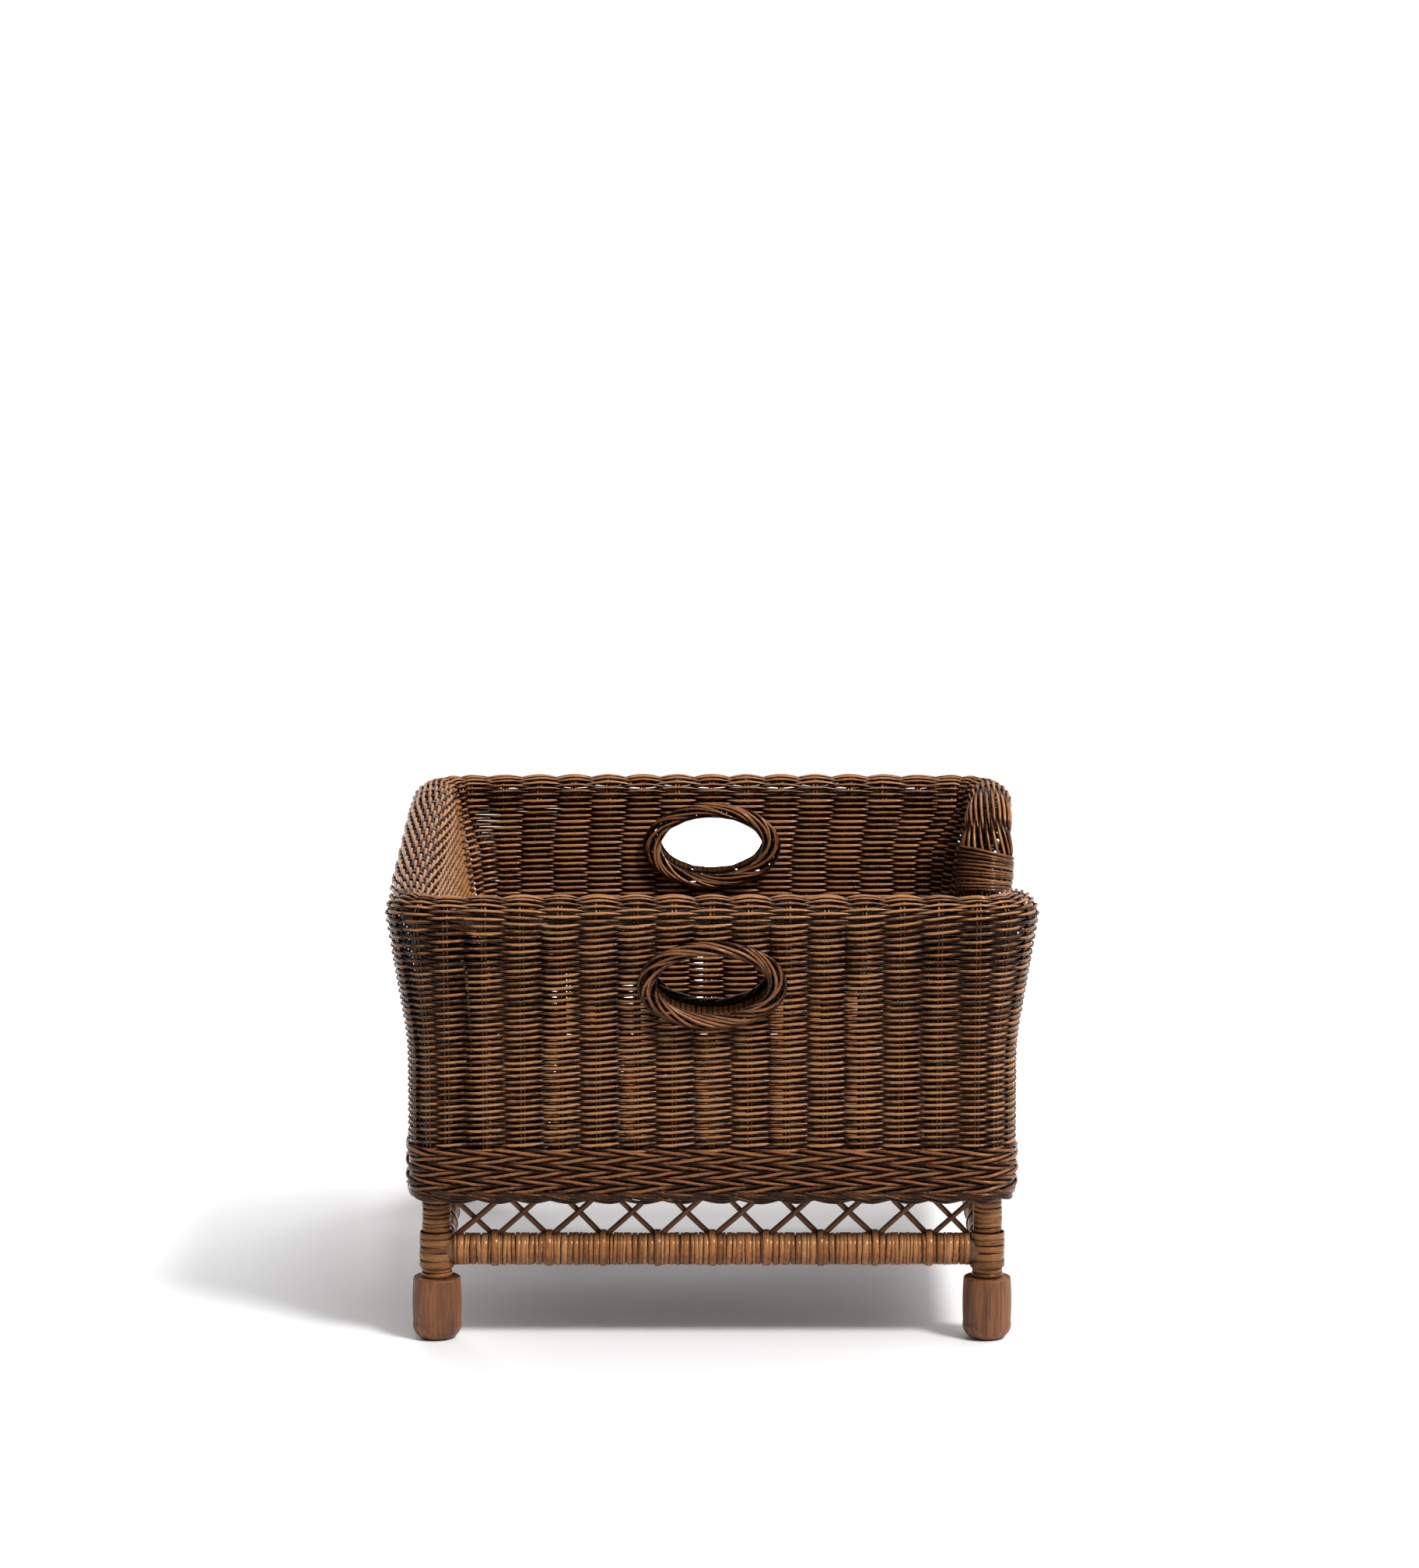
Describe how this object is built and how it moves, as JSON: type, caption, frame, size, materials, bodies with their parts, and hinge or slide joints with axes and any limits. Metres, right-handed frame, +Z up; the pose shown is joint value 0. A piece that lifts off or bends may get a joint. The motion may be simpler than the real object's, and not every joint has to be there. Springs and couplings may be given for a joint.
{
  "type": "raised wicker basket",
  "caption": "Rectangular double-walled rattan basket on short legs, rolled flared rim, oval hand holes in both ends, one side cut low as an entrance, lattice skirt below.",
  "frame": {"origin": "on the floor, under the middle of the basket", "axes": "+Z up, +X towards the low entrance side, -Y towards the front end with its hand hole"},
  "size_m": [0.64, 0.7741, 0.45],
  "materials": {
    "woven_rattan": "dark brown lacquered round rattan weavers, glossy",
    "twisted_rattan": "twisted bundles of dark lacquered rattan, glossy",
    "cane_binding": "flat honey brown cane wound side by side, glossy",
    "lattice_rattan": "thin round dark brown rods, satin",
    "pole_rattan": "peeled rattan pole, satin",
    "foot_wood": "turned mid brown hardwood with open grain, satin",
    "steel_pin": "plain steel pin"
  },
  "bodies": {
    "root": {"base_rail_back": "pole_rattan", "base_rail_front": "pole_rattan", "base_rail_left": "pole_rattan", "base_rail_right": "pole_rattan", "border_rope": "twisted_rattan", "deck_bar_back": "pole_rattan", "deck_bar_front": "pole_rattan", "entrance_pole": "pole_rattan", "entrance_roll": "woven_rattan", "entrance_wrap_back": "woven_rattan", "entrance_wrap_front": "woven_rattan", "foot_back_left": "foot_wood", "foot_back_right": "foot_wood", "foot_front_left": "foot_wood", "foot_front_right": "foot_wood", "foot_pins": "steel_pin", "handle_liner_back": "cane_binding", "handle_liner_front": "cane_binding", "handle_ring_back_inner": "twisted_rattan", "handle_ring_back_outer": "twisted_rattan", "handle_ring_front_inner": "twisted_rattan", "handle_ring_front_outer": "twisted_rattan", "inner_weave_back": "woven_rattan", "inner_weave_front": "woven_rattan", "inner_weave_left": "woven_rattan", "inner_weave_right": "woven_rattan", "lattice_back": "lattice_rattan", "lattice_front": "lattice_rattan", "lattice_left": "lattice_rattan", "lattice_right": "lattice_rattan", "lattice_ties": "cane_binding", "lower_rail_back": "pole_rattan", "lower_rail_front": "pole_rattan", "lower_rail_left": "pole_rattan", "lower_rail_right": "pole_rattan", "outer_weave_back": "woven_rattan", "outer_weave_front": "woven_rattan", "outer_weave_left": "woven_rattan", "outer_weave_right": "woven_rattan", "post_back_left": "pole_rattan", "post_back_right": "pole_rattan", "post_binding_back_left": "cane_binding", "post_binding_back_right": "cane_binding", "post_binding_front_left": "cane_binding", "post_binding_front_right": "cane_binding", "post_front_left": "pole_rattan", "post_front_right": "pole_rattan", "rail_binding_back": "cane_binding", "rail_binding_front": "cane_binding", "rail_binding_left": "cane_binding", "rail_binding_right": "cane_binding", "rim_pole_back": "pole_rattan", "rim_pole_front": "pole_rattan", "rim_pole_left": "pole_rattan", "rim_roll_back": "woven_rattan", "rim_roll_front": "woven_rattan", "rim_roll_left": "woven_rattan", "waling_band": "woven_rattan", "woven_deck": "woven_rattan"}
  },
  "joints": []
}
